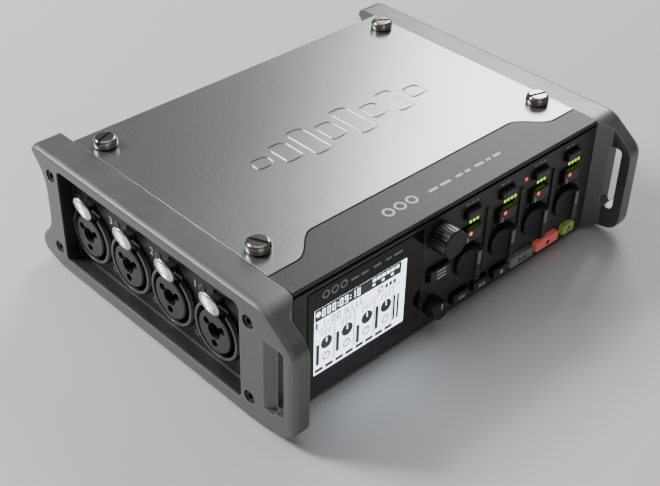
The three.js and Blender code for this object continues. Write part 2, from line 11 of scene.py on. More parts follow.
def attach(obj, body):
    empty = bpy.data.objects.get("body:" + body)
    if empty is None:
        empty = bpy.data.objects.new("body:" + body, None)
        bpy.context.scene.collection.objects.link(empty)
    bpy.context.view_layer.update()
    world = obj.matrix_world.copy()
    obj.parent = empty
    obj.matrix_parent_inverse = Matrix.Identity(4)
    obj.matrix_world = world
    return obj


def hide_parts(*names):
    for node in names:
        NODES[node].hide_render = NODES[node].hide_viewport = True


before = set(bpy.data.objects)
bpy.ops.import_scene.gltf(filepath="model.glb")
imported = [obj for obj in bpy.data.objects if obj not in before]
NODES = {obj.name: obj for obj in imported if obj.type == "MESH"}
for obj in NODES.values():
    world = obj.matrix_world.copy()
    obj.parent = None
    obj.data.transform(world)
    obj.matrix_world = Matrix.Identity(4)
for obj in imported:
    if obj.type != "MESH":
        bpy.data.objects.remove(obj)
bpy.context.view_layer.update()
ROOT = "case"
MM = 0.001

# Heights below are measured from the frame face's lower edge, LIFT above the table.
LIFT = 2.2

# ------------------------------------------------------------------ dimensions, mm
FRAME_OUT, FRAME_IN, HANDLE_IN = 89.1, 76.9, 82.0
FRONT, REAR, FRAME_TOP, FRAME_LOW = -70.5, 70.5, 48.2, -1.6
EDGE_IN, EDGE_DEEP = 1.8, 2.6
WINDOW, WINDOW_R = (-45.8, 53.9, 4.9, 44.1), 2.4  # the frames' opening: y, y, z, z
STRAP_SLOT = (-66.4, -61, 10, 37)
FRAME_SCREWS = [(58.1, 39.7), (58.1, 8.4), (-49.9, 39.7), (-49.9, 8.4)]
SKIN_X, COVER_TOP, COVER_THICK = 76.6, 48.4, 1.2
COVER_REAR, COVER_FRONT = 60.2, -45.4
TONGUE_HALF, TONGUE_Y, SHOULDER = 49.5, -35.8, 65.0
SEAM = 0.3  # between cover and hood, and under the cover screws' heads
COVER_SCREWS = [(-70, -33.2, 115), (70, -33.2, -19), (-70, 50, 19), (70, 50, -36)]
SCREW_HEAD = 3.4
PANEL_FACE, JACK_PANEL, INPUT_PANEL = -57.0, 83.6, 82.9
REAR_FACE, BOTTOM_FACE = 62.0, -0.6
INPUT_Y = [-28.4 + 23.6 * i for i in range(4)]
INPUT_Z, TAB_Z, TAB_X, TAB_R = 19.8, 32.6, 87.6, 4.9
CONTACT_RING, CONTACT_TURNS = 4.7, [math.radians(turn) for turn in (35, 145, 270)]
OUTPUT_Y, OUTPUT_Z = (16, -10), 23.5
GLASS_FACE, LCD = -57.2, (-67.9, -26.0, 9.1, 36.4)
INK_LAYER, PAPER_LAYER, MARK_THICK = 0.06, 0.09, 0.03
CHANNEL_X = [6.2 + 18.6 * i for i in range(4)]
KEY_FACE, KEY_FLANGE, KEY_MARK = PANEL_FACE - 2.3, -53.0, 0.04
KNOB_Z, KNOB_R, KNOB_FRONT, STEM_END = 19.7, 7.2, -62.6, -47.6
ENCODER_X, ENCODER_Z = -10.7, 38.4
HEADPHONE_X, HEADPHONE_Z = -11.8, 8.6
METER_BARS, METER_PITCH, METER_LIT = 5, 1.85, (3, 4, 3, 4)


# ------------------------------------------------------------------ materials
def nodes_of(name):
    mat = bpy.data.materials.new(name)
    mat.use_nodes = True
    tree = mat.node_tree
    return mat, tree, tree.nodes["Principled BSDF"]


def link(tree, a, out, b, socket):
    tree.links.new(a.outputs[out], b.inputs[socket])


def add(tree, kind, **values):
    node = tree.nodes.new(kind)
    for key, value in values.items():
        if key in node.inputs:
            node.inputs[key].default_value = value
        else:
            setattr(node, key, value)
    return node


def ramp(tree, stops):
    node = tree.nodes.new("ShaderNodeValToRGB")
    band = node.color_ramp
    while len(band.elements) < len(stops):
        band.elements.new(0.5)
    for element, (place, value) in zip(band.elements, stops):
        element.position = place
        element.color = (value, value, value, 1) if np.isscalar(value) else (*value, 1)
    return node


def blend(tree, factor, factor_out, under, under_out, tint):
    """The colour under, moved towards a plain tint by the factor."""
    mix = add(tree, "ShaderNodeMix", data_type="RGBA")
    link(tree, factor, factor_out, mix, "Factor")
    link(tree, under, under_out, mix, "A")
    mix.inputs["B"].default_value = (*tint, 1)
    return mix, "Result"


def surface(name, dark, light, rough, metallic=0.0, grain=900, bump=0.03, sparkle=None,
            edge=None, coat=0.0, blotch=40, rough_swing=0.06):
    """Colour that wanders between dark and light, roughness that follows, fine grain in the
    bump, and, with edge=(colour, strength), paler edges: partly wear, partly painted highlight."""
    mat, tree, bsdf = nodes_of(name)
    bsdf.inputs["Metallic"].default_value = metallic
    bsdf.inputs["IOR"].default_value = 1.5
    bsdf.inputs["Coat Weight"].default_value = coat
    place = add(tree, "ShaderNodeTexCoord")
    cloud = add(tree, "ShaderNodeTexNoise", Scale=blotch, Detail=6.0, Roughness=0.6)
    link(tree, place, "Object", cloud, "Vector")
    tint = ramp(tree, [(0.3, dark), (0.7, light)])
    link(tree, cloud, "Fac", tint, "Fac")
    colour, colour_out = tint, "Color"
    fine = add(tree, "ShaderNodeTexNoise", Scale=grain, Detail=3.0, Roughness=0.7)
    link(tree, place, "Object", fine, "Vector")
    if sparkle is not None:
        spots = ramp(tree, [(0.52, 0.0), (0.68, 1.0)])
        link(tree, fine, "Fac", spots, "Fac")
        colour, colour_out = blend(tree, spots, "Color", colour, colour_out, sparkle)
    # Painted highlight and wear: the Bevel node finds the edges, which turn paler, partly as
    # rubbed paint and partly as light caught by the bevels.
    if edge is not None:
        bevel = add(tree, "ShaderNodeBevel", samples=4, Radius=0.0006)
        geo = add(tree, "ShaderNodeNewGeometry")
        dot = add(tree, "ShaderNodeVectorMath", operation="DOT_PRODUCT")
        tree.links.new(bevel.outputs["Normal"], dot.inputs[0])
        tree.links.new(geo.outputs["Normal"], dot.inputs[1])
        edge_wear_and_highlight = ramp(tree, [(0.86, 1.0), (0.985, 0.0)])
        link(tree, dot, "Value", edge_wear_and_highlight, "Fac")
        edge_wear_and_highlight_amount = add(tree, "ShaderNodeMath", operation="MULTIPLY")
        tree.links.new(edge_wear_and_highlight.outputs["Color"], edge_wear_and_highlight_amount.inputs[0])
        patches = ramp(tree, [(0.35, 0.35 * edge[1]), (0.65, edge[1])])
        link(tree, cloud, "Fac", patches, "Fac")
        tree.links.new(patches.outputs["Color"], edge_wear_and_highlight_amount.inputs[1])
        colour, colour_out = blend(tree, edge_wear_and_highlight_amount, "Value", colour, colour_out, edge[0])
    link(tree, colour, colour_out, bsdf, "Base Color")
    sheen = ramp(tree, [(0.3, max(0.02, rough - rough_swing)), (0.7, rough + rough_swing)])
    link(tree, cloud, "Fac", sheen, "Fac")
    link(tree, sheen, "Color", bsdf, "Roughness")
    if bump:
        relief = add(tree, "ShaderNodeBump", Strength=bump, Distance=0.0002)
        link(tree, fine, "Fac", relief, "Height")
        link(tree, relief, "Normal", bsdf, "Normal")
    return mat


def glowing(name, colour, strength, rough=0.25, base=(0.02, 0.02, 0.02), coat=0.0):
    """Lit surface with a faint unevenness, as a lamp behind a diffuser has."""
    mat, tree, bsdf = nodes_of(name)
    bsdf.inputs["Base Color"].default_value = (*base, 1)
    bsdf.inputs["Roughness"].default_value = rough
    bsdf.inputs["Coat Weight"].default_value = coat
    bsdf.inputs["Emission Strength"].default_value = strength
    place = add(tree, "ShaderNodeTexCoord")
    cloud = add(tree, "ShaderNodeTexNoise", Scale=45.0, Detail=2.0)
    link(tree, place, "Object", cloud, "Vector")
    tint = ramp(tree, [(0.25, tuple(0.88 * c for c in colour)), (0.75, colour)])
    link(tree, cloud, "Fac", tint, "Fac")
    link(tree, tint, "Color", bsdf, "Emission Color")
    return mat


# Every edge colour below paints paler edges: partly wear, partly painted highlight on the bevels,
# as on the frames, keys and knobs.
M = {
    "cast": surface("cast_paint", (0.135, 0.135, 0.132), (0.155, 0.155, 0.151), 0.38, 0.5,
                    grain=1500, bump=0.10, edge=((0.60, 0.60, 0.58), 0.6)),
    "cover": surface("cover_paint", (0.335, 0.333, 0.338), (0.342, 0.340, 0.345), 0.30, 0.9,
                     grain=4200, bump=0.05, sparkle=(0.44, 0.44, 0.445),
                     edge=((0.6, 0.6, 0.6), 0.1), blotch=12, rough_swing=0.015),
    "hood": surface("hood_paint", (0.026, 0.026, 0.0265), (0.030, 0.030, 0.0305), 0.50, 0.12,
                    grain=4200, bump=0.05, sparkle=(0.075, 0.075, 0.076),
                    edge=((0.34, 0.34, 0.34), 0.5), blotch=12, rough_swing=0.015),
    "case": surface("case_paint", (0.030, 0.030, 0.033), (0.038, 0.038, 0.041), 0.5, 0.2,
                    grain=1800, bump=0.08, edge=((0.12, 0.12, 0.12), 0.4)),
    "panel": surface("panel_plastic", (0.030, 0.030, 0.031), (0.036, 0.036, 0.037), 0.46,
                     grain=1900, bump=0.12, edge=((0.12, 0.12, 0.12), 0.35)),
    "lining": surface("side_panel", (0.012, 0.012, 0.012), (0.016, 0.016, 0.016), 0.5,
                      grain=1700, bump=0.12, edge=((0.08, 0.08, 0.08), 0.3)),
    "jack": surface("jack_plastic", (0.018, 0.018, 0.020), (0.026, 0.026, 0.028), 0.36,
                    grain=1300, bump=0.06, edge=((0.16, 0.16, 0.165), 0.55)),
    "gloss": surface("gloss_flange", (0.010, 0.010, 0.011), (0.014, 0.014, 0.015), 0.13,
                     grain=700, bump=0.01, edge=((0.10, 0.10, 0.10), 0.3), rough_swing=0.03),
    "lip": surface("socket_lip", (0.055, 0.055, 0.057), (0.075, 0.075, 0.077), 0.24,
                   grain=1300, bump=0.04, edge=((0.24, 0.24, 0.24), 0.5), rough_swing=0.04),
    "insert": surface("socket_insert", (0.018, 0.018, 0.019), (0.026, 0.026, 0.027), 0.34,
                      grain=1300, bump=0.06, edge=((0.20, 0.20, 0.20), 0.5)),
    "key": surface("key_plastic", (0.008, 0.008, 0.008), (0.011, 0.011, 0.011), 0.34,
                   grain=1700, bump=0.05, edge=((0.42, 0.42, 0.42), 0.9)),
    "key_face": surface("key_face", (0.036, 0.036, 0.037), (0.042, 0.042, 0.043), 0.40,
                        grain=1700, bump=0.08),
    "knob": surface("knob_plastic", (0.009, 0.009, 0.009), (0.013, 0.013, 0.013), 0.33,
                    grain=1500, bump=0.05, edge=((0.14, 0.14, 0.14), 0.3)),
    # painted highlight: pale grey for the light on the track knobs' grips
    "grip_highlight": surface("grip_highlight_grey", (0.17, 0.17, 0.17), (0.20, 0.20, 0.20), 0.42,
                       grain=1500, bump=0.05, edge=((0.4, 0.4, 0.4), 0.4)),
    "grey_key": surface("grey_key_plastic", (0.22, 0.222, 0.225), (0.25, 0.252, 0.255), 0.38,
                        grain=1700, bump=0.05, edge=((0.5, 0.5, 0.5), 0.5)),
    "red_key": surface("red_key_plastic", (0.92, 0.20, 0.16), (0.97, 0.24, 0.20), 0.36,
                       grain=1700, bump=0.05, edge=((0.9, 0.42, 0.38), 0.6)),
    "deep_red": surface("deep_red", (0.16, 0.012, 0.010), (0.20, 0.016, 0.012), 0.4,
                        grain=1700, bump=0.03),
    "green_key": surface("green_key_plastic", (0.36, 0.52, 0.13), (0.42, 0.58, 0.16), 0.40,
                         grain=1700, bump=0.05, edge=((0.4, 0.5, 0.2), 0.5)),
    "screw_metal": surface("screw_metal", (0.33, 0.31, 0.285), (0.40, 0.375, 0.35), 0.20, 1.0,
                           grain=700, bump=0.03, blotch=90, rough_swing=0.04),
    "tab": surface("tab_plate", (0.72, 0.70, 0.66), (0.85, 0.83, 0.79), 0.27, 1.0,
                   grain=800, bump=0.06, blotch=120, rough_swing=0.07),
    "nickel": surface("nickel_plate", (0.46, 0.45, 0.42), (0.56, 0.55, 0.51), 0.24, 1.0,
                      grain=900, bump=0.04, blotch=80),
    "contact": surface("contact_gold", (0.60, 0.42, 0.16), (0.70, 0.50, 0.22), 0.25, 1.0,
                       grain=900, bump=0.03, blotch=80),
    "black_screw": surface("black_oxide", (0.018, 0.018, 0.019), (0.035, 0.035, 0.036), 0.32,
                           0.7, grain=1400, bump=0.08, edge=((0.22, 0.22, 0.22), 0.5)),
    "rubber": surface("foot_rubber", (0.012, 0.012, 0.012), (0.020, 0.020, 0.020), 0.82,
                      grain=1500, bump=0.25, edge=((0.05, 0.05, 0.05), 0.4)),
    "window": surface("window_gloss", (0.006, 0.006, 0.007), (0.008, 0.008, 0.009), 0.07,
                      grain=400, bump=0.004, rough_swing=0.02, blotch=15),
    "board": surface("circuit_board", (0.010, 0.10, 0.045), (0.020, 0.15, 0.065), 0.45,
                     grain=900, bump=0.1),
    "cells": surface("cell_wrap", (0.45, 0.28, 0.07), (0.60, 0.40, 0.12), 0.3, 0.6,
                     grain=900, bump=0.02),
    "print": surface("grey_print", (0.50, 0.50, 0.50), (0.60, 0.60, 0.59), 0.5,
                     grain=2500, bump=0.03),
    "dim_print": surface("dim_print", (0.25, 0.25, 0.25), (0.31, 0.31, 0.31), 0.5,
                         grain=2500, bump=0.03),
    "plate": surface("label_plate", (0.30, 0.30, 0.30), (0.34, 0.34, 0.34), 0.35, 0.5,
                     grain=1200, bump=0.03),
    # black, also used as painted shade in screw slots, key gaps, sockets and vent slots
    "dark": surface("black_and_painted_shade", (0.004, 0.004, 0.004), (0.006, 0.006, 0.006), 0.7,
                    grain=1500, bump=0.1),
    "lcd": glowing("lcd_light", (0.80, 0.90, 0.97), 4.2, 0.2, (0.05, 0.05, 0.06), 0.6),
    "lcd_ink": surface("lcd_ink", (0.05, 0.058, 0.075), (0.07, 0.08, 0.10), 0.2,
                       grain=1200, bump=0.01, coat=0.6),
    "led_green": glowing("led_green", (0.50, 1.0, 0.0), 1.7),
    "led_off": surface("led_off", (0.035, 0.045, 0.02), (0.05, 0.06, 0.03), 0.25,
                       grain=900, bump=0.02),
    "led_red": glowing("led_red", (1.0, 0.035, 0.012), 2.2),
    "led_amber": glowing("led_amber", (1.0, 0.16, 0.02), 2.2),
}


# Painted light: a faint glow brightens the shaded faces of the red, green and grey keys.
for key_with_painted_glow, colour, strength in (("red_key", (1.0, 0.14, 0.11), 0.12),
                                  ("green_key", (0.45, 0.75, 0.12), 0.05),
                                  ("grey_key", (0.6, 0.6, 0.6), 0.012)):
    shader = M[key_with_painted_glow].node_tree.nodes["Principled BSDF"]
    shader.inputs["Emission Color"].default_value = (*colour, 1)
    shader.inputs["Emission Strength"].default_value = strength


# ------------------------------------------------------------------ mesh tools
def metres(bm):
    bmesh.ops.transform(bm, verts=bm.verts, matrix=Matrix.Translation((0, 0, LIFT * MM))
                        @ Matrix.Scale(MM, 4))


def rounded(x0, x1, y0, y1, r, n=6):
    """Points of a rounded rectangle, counter-clockwise."""
    points = []
    for cx, cy, start in ((x1 - r, y0 + r, -90), (x1 - r, y1 - r, 0),
                          (x0 + r, y1 - r, 90), (x0 + r, y0 + r, 180)):
        for k in range(n + 1):
            turn = math.radians(start + 90 * k / n)
            points.append((cx + r * math.cos(turn), cy + r * math.sin(turn)))
    return points


def circle(cx, cy, r, n=48, start=0.0):
    return [(cx + r * math.cos(start + 2 * math.pi * k / n),
             cy + r * math.sin(start + 2 * math.pi * k / n)) for k in range(n)]


PLACES = {  # outline (u, v) and depth t to model x, y, z
    "x": lambda u, v, t: (t, u, v),
    "y": lambda u, v, t: (u, t, v),
    "z": lambda u, v, t: (u, v, t),
}


def shrunk(rect, d):
    """A rectangle (low, high, low, high) moved inwards by d on every side."""
    return rect[0] + d, rect[1] - d, rect[2] + d, rect[3] - d


def loft(rings, axis):
    """Closed solid through rings of equal length: [(points, t), ...]."""
    bm = bmesh.new()
    place = PLACES[axis]
    rows = [[bm.verts.new(place(u, v, t)) for u, v in points] for points, t in rings]
    count = len(rows[0])
    for a, b in zip(rows, rows[1:]):
        for k in range(count):
            bm.faces.new((a[k], a[(k + 1) % count], b[(k + 1) % count], b[k]))
    bm.faces.new(rows[0][::-1])
    bm.faces.new(rows[-1])
    bmesh.ops.recalc_face_normals(bm, faces=bm.faces)
    return bm


def prism(points, axis, low, high):
    return loft([(points, low), (points, high)], axis)


def lathe(profile, axis, at, sides=64):
    """Solid of revolution: profile [(radius, t), ...] from one end of the axis to the other."""
    return loft([(circle(at[0], at[1], max(r, 0.002), sides), t) for r, t in profile], axis)


def box(x0, x1, y0, y1, z0, z1):
    return prism([(x0, y0), (x1, y0), (x1, y1), (x0, y1)], "z", z0, z1)


def merged(*parts):
    """Several meshes as one."""
    whole = bmesh.new()
    for part in parts:
        mesh = bpy.data.meshes.new("part")
        part.to_mesh(mesh)
        part.free()
        whole.from_mesh(mesh)
        bpy.data.meshes.remove(mesh)
    return whole


def turned(bm, matrix):
    bmesh.ops.transform(bm, verts=bm.verts, matrix=matrix)
    return bm


def mirror_x(bm):
    bmesh.ops.scale(bm, verts=bm.verts, vec=(-1, 1, 1))
    bmesh.ops.reverse_faces(bm, faces=bm.faces)
    return bm


def as_object(bm, name):
    mesh = bpy.data.meshes.new(name)
    bm.to_mesh(mesh)
    bm.free()
    obj = bpy.data.objects.new(name, mesh)
    bpy.context.scene.collection.objects.link(obj)
    return obj


def carve(base, cutters, operation="DIFFERENCE", weld=1e-4):
    """The base without its cutters, or, with INTERSECT, only what they share."""
    obj = as_object(base, "carve_base")
    tools = []
    for cutter in cutters:
        tool = as_object(cutter, "carve_tool")
        modifier = obj.modifiers.new("cut", "BOOLEAN")
        modifier.operation = operation
        modifier.solver = "EXACT"
        modifier.object = tool
        tools.append(tool)
    graph = bpy.context.evaluated_depsgraph_get()
    result = bpy.data.meshes.new_from_object(obj.evaluated_get(graph))
    out = bmesh.new()
    out.from_mesh(result)
    bpy.data.meshes.remove(result)
    for used in [obj, *tools]:
        mesh = used.data
        bpy.data.objects.remove(used)
        bpy.data.meshes.remove(mesh)
    if weld:
        bmesh.ops.remove_doubles(out, verts=out.verts, dist=weld)
    return out


def soften(obj, width, segments=2, angle=32, weld=False):
    """Rounded edges and even shading."""
    if weld:
        obj.modifiers.new("weld", "WELD").merge_threshold = 1e-6
        flat = obj.modifiers.new("flat", "DECIMATE")
        flat.decimate_type = "DISSOLVE"
        flat.angle_limit = math.radians(0.6)
    if width:
        bevel = obj.modifiers.new("bevel", "BEVEL")
        bevel.width = width * MM
        bevel.segments = segments
        bevel.limit_method = "ANGLE"
        bevel.angle_limit = math.radians(angle)
        bevel.miter_outer = "MITER_ARC"
        bevel.use_clamp_overlap = True
    normals = obj.modifiers.new("normals", "WEIGHTED_NORMAL")
    normals.keep_sharp = True
    normals.weight = 80


def piece(name, bm, mat, body=ROOT, slot=None, replaces=(), bevel=0.15, segments=2,
          angle=32):
    """A visible piece from a mesh in millimetres, on the body that carries it."""
    metres(bm)
    obj = as_object(bm, name)
    obj.data.materials.append(M[mat])
    obj.data.shade_smooth()
    obj.data.set_sharp_from_angle(angle=math.radians(60 if bevel else 40))
    soften(obj, bevel, segments, angle)
    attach(obj, body)
    if replaces:
        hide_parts(*replaces)


def pair(name, bm, mat, node=None, **finish):
    """The same piece on the right side and, mirrored, on the left."""
    copy = bm.copy()
    for side, mesh in (("right", bm), ("left", mirror_x(copy))):
        piece(f"{side}_{name}", mesh, mat, replaces=[f"{side}_{node}"] if node else (),
              **finish)


def keep(node, mat, bevel, weld=True):
    """A CAD node that stays, with a finish and softened edges."""
    obj = NODES[node]
    obj.data.materials.clear()
    obj.data.materials.append(M[mat])
    soften(obj, bevel, weld=weld)


# ------------------------------------------------------------------ side frames
def bezier(points, n):
    """Points after the first of a quadratic or cubic curve."""
    out = []
    for k in range(1, n + 1):
        t = k / n
        rest = [Vector(p) for p in points]
        while len(rest) > 1:
            rest = [a.lerp(b, t) for a, b in zip(rest, rest[1:])]
        out.append(tuple(rest[0]))
    return out


def trace(start, steps, n=10):
    """Outline from straight steps (y, z) and curved ones (y, z of each control and end)."""
    points = [start]
    for step in steps:
        if len(step) == 2:
            points.append(tuple(step))
        else:
            controls = [(step[i], step[i + 1]) for i in range(0, len(step), 2)]
            points += bezier([points[-1], *controls], n)
    return points


def inset(points, d):
    """The outline moved inwards by d, for a counter-clockwise outline."""
    out = []
    count = len(points)
    for k in range(count):
        before, here, after = (Vector(points[(k + i) % count]) for i in (-1, 0, 1))
        a, b = (here - before).normalized(), (after - here).normalized()
        na, nb = Vector((-a.y, a.x)), Vector((-b.y, b.x))
        move = (na + nb) / (1 + na.dot(nb))
        out.append(tuple(here + d * move))
    return out


FRAME_OUTLINE = trace((-50, FRAME_LOW), [
    (58, FRAME_LOW), (65.5, 0.2), (REAR, 1.8, REAR, 5.6), (REAR, 9, 66.4, 12.6),
    (63.3, 15.6, 63.3, 20), (63.3, 30), (63.3, 36.5, 67, 40.8), (REAR, 44.8),
    (REAR, FRAME_TOP, 66.5, FRAME_TOP), (-52.5, FRAME_TOP), (-56.5, FRAME_TOP, -59.5, 45.8),
    (-67, 40.4), (FRONT, 38, FRONT, 34), (FRONT, 8), (FRONT, 2.6, -65.5, 1.2)])


def frame_shell():
    soft = [(inset(FRAME_OUTLINE, EDGE_IN * k), FRAME_OUT - EDGE_DEEP * (1 - d))
            for k, d in ((0.0, 0.0), (0.16, 0.46), (0.46, 0.84), (1.0, 1.0))]
    body = loft([(FRAME_OUTLINE, FRAME_IN)] + soft, "x")
    relief = [(0, PANEL_FACE), (FRAME_IN, PANEL_FACE), (HANDLE_IN, -61.5),
              (HANDLE_IN, 2 * FRONT), (0, 2 * FRONT)]
    scoop = [(FRAME_OUT + 1, -55.2), (FRAME_OUT - 2.3, -60.8), (FRAME_OUT - 2.3, -62),
             (FRAME_OUT + 1, -62)]
    cutters = [
        prism(relief, "z", -60, 90),
        prism(rounded(*WINDOW, WINDOW_R, 8), "x", 60, 100),
        prism(rounded(*STRAP_SLOT, 1.6, 8), "x", 60, 100),
        prism(scoop, "z", 8.5, 37),
        box(79.4, 86.6, -44, 54, FRAME_LOW - 1, FRAME_LOW + 1),
    ]
    for y, z in FRAME_SCREWS:
        cutters.append(prism(circle(y, z, 2.6, 32), "x", FRAME_OUT - 2.2, FRAME_OUT + 1))
    return carve(body, cutters)


def frame_screw(y, z):
    """Socket screw sunk in the frame: a ring of a head with a six-sided recess."""
    face = FRAME_OUT - 0.5
    head = lathe([(2.3, FRAME_OUT - 2.15), (2.35, face - 0.35), (2.05, face)], "x", (y, z), 32)
    return carve(head, [prism(circle(y, z, 1.25, 6, 0.4), "x", face - 1.4, face + 1)])


pair("frame_casting", frame_shell(), "cast", "frame", slot="cast_frame", bevel=0.3, angle=28)
for index, (y, z) in enumerate(FRAME_SCREWS):
    pair(f"frame_screw_{index + 1}", frame_screw(y, z), "black_screw", bevel=0.08)


def window_lining():
    """Thin dark sleeve on the walls of the frame's window."""
    low, high, play, thick = JACK_PANEL + 0.05, FRAME_OUT - 0.35, 0.05, 0.4
    outside = rounded(*shrunk(WINDOW, play), WINDOW_R - play, 8)
    inside = rounded(*shrunk(WINDOW, thick), WINDOW_R - thick, 8)
    return carve(prism(outside, "x", low, high), [prism(inside, "x", 60, 100)])


pair("window_lining", window_lining(), "lining", bevel=0.08)


def foot_strip():
    """Rubber strip with cross grooves moulded in its underside."""
    strip = box(79.7, 86.3, -43.7, 53.7, -LIFT, FRAME_LOW + 0.7)
    grooves = [box(79, 87, y, y + 1.2, -LIFT - 1, -LIFT + 0.45)
               for y in np.arange(-40.7, 52, 4.8)]
    return carve(strip, grooves)


pair("foot_rubber", foot_strip(), "rubber", "foot_strip", slot="foot_rubber")

# ------------------------------------------------------------------ cover and hood
front_edge = [(-SHOULDER, COVER_FRONT)]
front_edge += bezier([(-SHOULDER, COVER_FRONT), (-SHOULDER + 6, COVER_FRONT),
                      (-TONGUE_HALF - 6, TONGUE_Y), (-TONGUE_HALF, TONGUE_Y)], 20)
front_edge += [(-x, y) for x, y in reversed(front_edge)]


def emblem():
    """Engraved generic sound wave: outlined bars of different heights."""
    cutters = []
    for k, tall in enumerate((7, 13, 19, 12, 20, 10, 16, 8)):
        x = -36.4 + 11.1 * k
        outer = prism(rounded(x - 4.2, x + 4.2, 4 - tall / 2, 4 + tall / 2, 2.4, 8), "z",
                      COVER_TOP - 0.35, COVER_TOP + 1)
        inner = prism(rounded(x - 3.2, x + 3.2, 5 - tall / 2, 3 + tall / 2, 1.4, 8), "z",
                      COVER_TOP - 2, COVER_TOP + 2)
        cutters.append(carve(outer, [inner]))
    return cutters


outline = ([(-SKIN_X, COVER_FRONT)] + front_edge + [(SKIN_X, COVER_FRONT),
           (SKIN_X, COVER_REAR), (-SKIN_X, COVER_REAR)])
holes = [prism(circle(x, y, 2.1, 24), "z", 40, 60) for x, y, _ in COVER_SCREWS]
piece("cover_sheet_top", carve(prism(outline, "z", COVER_TOP - COVER_THICK, COVER_TOP),
      holes + emblem()), "cover", slot="cover_sheet", replaces=["top_cover"],
      bevel=0.14, angle=40)

hood_edge = [(x, y - SEAM) for x, y in front_edge]
outline = ([(-SKIN_X, PANEL_FACE), (SKIN_X, PANEL_FACE), (SKIN_X, COVER_FRONT - SEAM)]
           + hood_edge[::-1] + [(-SKIN_X, COVER_FRONT - SEAM)])
hood = merged(prism(outline, "z", 46.7, COVER_TOP), box(-70, 70, -53.6, -51.6, 43.6, 46.8))
piece("hood_sheet", hood, "hood", slot="dark_sheet", replaces=["front_hood"],
      bevel=0.45, segments=3, angle=40)


def top_screw(x, y, slot_turn):
    """Tall slotted screw on its shank, and a black block in its slot as painted shade."""
    low, top = COVER_TOP + SEAM, COVER_TOP + SEAM + SCREW_HEAD
    aim = (Matrix.Translation((x, y, 0))
           @ Matrix.Rotation(math.radians(slot_turn), 4, "Z"))
    head = lathe([(4.0, low), (4.4, low + 0.5), (4.42, low + 1.2), (4.4, top - 1.5),
                  (4.28, top - 1.05), (3.95, top - 0.5), (3.55, top - 0.14), (3.1, top)],
                 "z", (x, y), 72)
    slot_cut = turned(box(-7, 7, -0.7, 0.7, top - 1.5, top + 1), aim)
    shank = lathe([(1.7, 38.5), (1.7, low + 0.2)], "z", (x, y), 24)
    # Painted shade: a black block fills the lower part of the slot.
    shade = turned(box(-4.1, 4.1, -0.69, 0.69, top - 1.52, top - 0.5), aim)
    return merged(carve(head, [slot_cut]), shank), shade


for index, (x, y, turn) in enumerate(COVER_SCREWS):
    screw, shade = top_screw(x, y, turn)
    piece(f"cover_screw_{index + 1}", screw, "screw_metal",
          slot="bright_metal", replaces=[f"top_screw_{index + 1}"], bevel=0.1)
    piece(f"cover_screw_slot_{index + 1}", shade, "dark", bevel=0)

# ------------------------------------------------------------------ plain CAD pieces
for node, mat, width in (
        ("bottom_case", "case", 0.2), ("tripod_insert", "nickel", 0.1),
        ("front_panel", "panel", 0.18), ("display_module", "dark", 0),
        ("left_jack_panel", "lining", 0.15), ("right_jack_panel", "lining", 0.15),
        ("output_jack_1", "jack", 0.25), ("output_jack_2", "jack", 0.25),
        ("headphone_jack", "jack", 0.25),
        ("card_socket", "nickel", 0.1), ("rear_panel", "panel", 0.15),
        ("timecode_socket_in", "nickel", 0.15), ("timecode_socket_out", "nickel", 0.15),
        ("dc_inlet", "nickel", 0.15), ("battery_sled", "panel", 0.35),
        ("battery_cells", "cells", 0.3), ("main_board", "board", 0.1),
        ("control_board", "board", 0), ("encoder_shaft", "nickel", 0.1)):
    keep(node, mat, width)
keep("card_door", "rubber", 0.12, weld=False)

# ------------------------------------------------------------------ input sockets
def keyhole_insert(y, z):
    """The socket's insert: round face, central bore and three contact holes round it."""
    face = -85.6
    disc = lathe([(8.2, -70), (8.2, face + 0.8), (7.95, face + 0.25), (7.4, face)],
                 "x", (y, z), 64)
    cuts = [prism(circle(y, z + 0.6, 3.25, 40), "x", -90, -64),
            box(-90, -83.3, y - 5.3, y + 5.3, z + 7.4, z + 14)]
    for a in CONTACT_TURNS:
        cuts.append(prism(circle(y + CONTACT_RING * math.cos(a), z + CONTACT_RING * math.sin(a),
                                 1.55, 24), "x", -90, -76))
    return carve(disc, cuts)


for index, y in enumerate(INPUT_Y):
    number = index + 1
    notches = [box(-90, -83.5, y - 5.3, y + 5.3, INPUT_Z + 7.9, INPUT_Z + 14)
               for _ in range(2)]
    shell = carve(lathe([(11.72, -INPUT_PANEL - 0.05), (11.68, -83.6), (11.5, -84.05),
                         (11.2, -84.4), (10.95, -84.5)], "x", (y, INPUT_Z), 96),
                  [prism(circle(y, INPUT_Z, 10.5, 96), "x", -90, -80), notches[0]])
    piece(f"input_shell_{number}", shell, "gloss", slot="jack_plastic", bevel=0.06)
    lip = carve(lathe([(10.45, -78), (10.45, -84.2), (11.05, -84.35), (11.08, -84.7),
                       (10.9, -84.95), (10.55, -85.0)], "x", (y, INPUT_Z), 96),
                [prism(circle(y, INPUT_Z, 9.9, 96), "x", -90, -70), notches[1]])
    well = lathe([(10.2, -70.5), (10.2, -61)], "x", (y, INPUT_Z), 40)
    piece(f"input_ring_{number}", merged(lip, well), "lip", slot="jack_plastic",
          bevel=0.1, replaces=[f"input_jack_{number}"])
    piece(f"input_insert_{number}", keyhole_insert(y, INPUT_Z), "insert",
          slot="jack_plastic", bevel=0.25)
    # Painted shade: a black disc deep between lip and insert darkens the socket's gap.
    floor = lathe([(9.8, -77), (9.8, -76)], "x", (y, INPUT_Z), 40)
    piece(f"input_floor_{number}", floor, "dark", bevel=0)
    contacts = [prism(circle(y + CONTACT_RING * math.cos(a),
                             INPUT_Z + CONTACT_RING * math.sin(a), 0.8, 12), "x", -82.5, -76)
                for a in CONTACT_TURNS]
    piece(f"input_contacts_{number}", merged(*contacts), "contact", bevel=0.1)


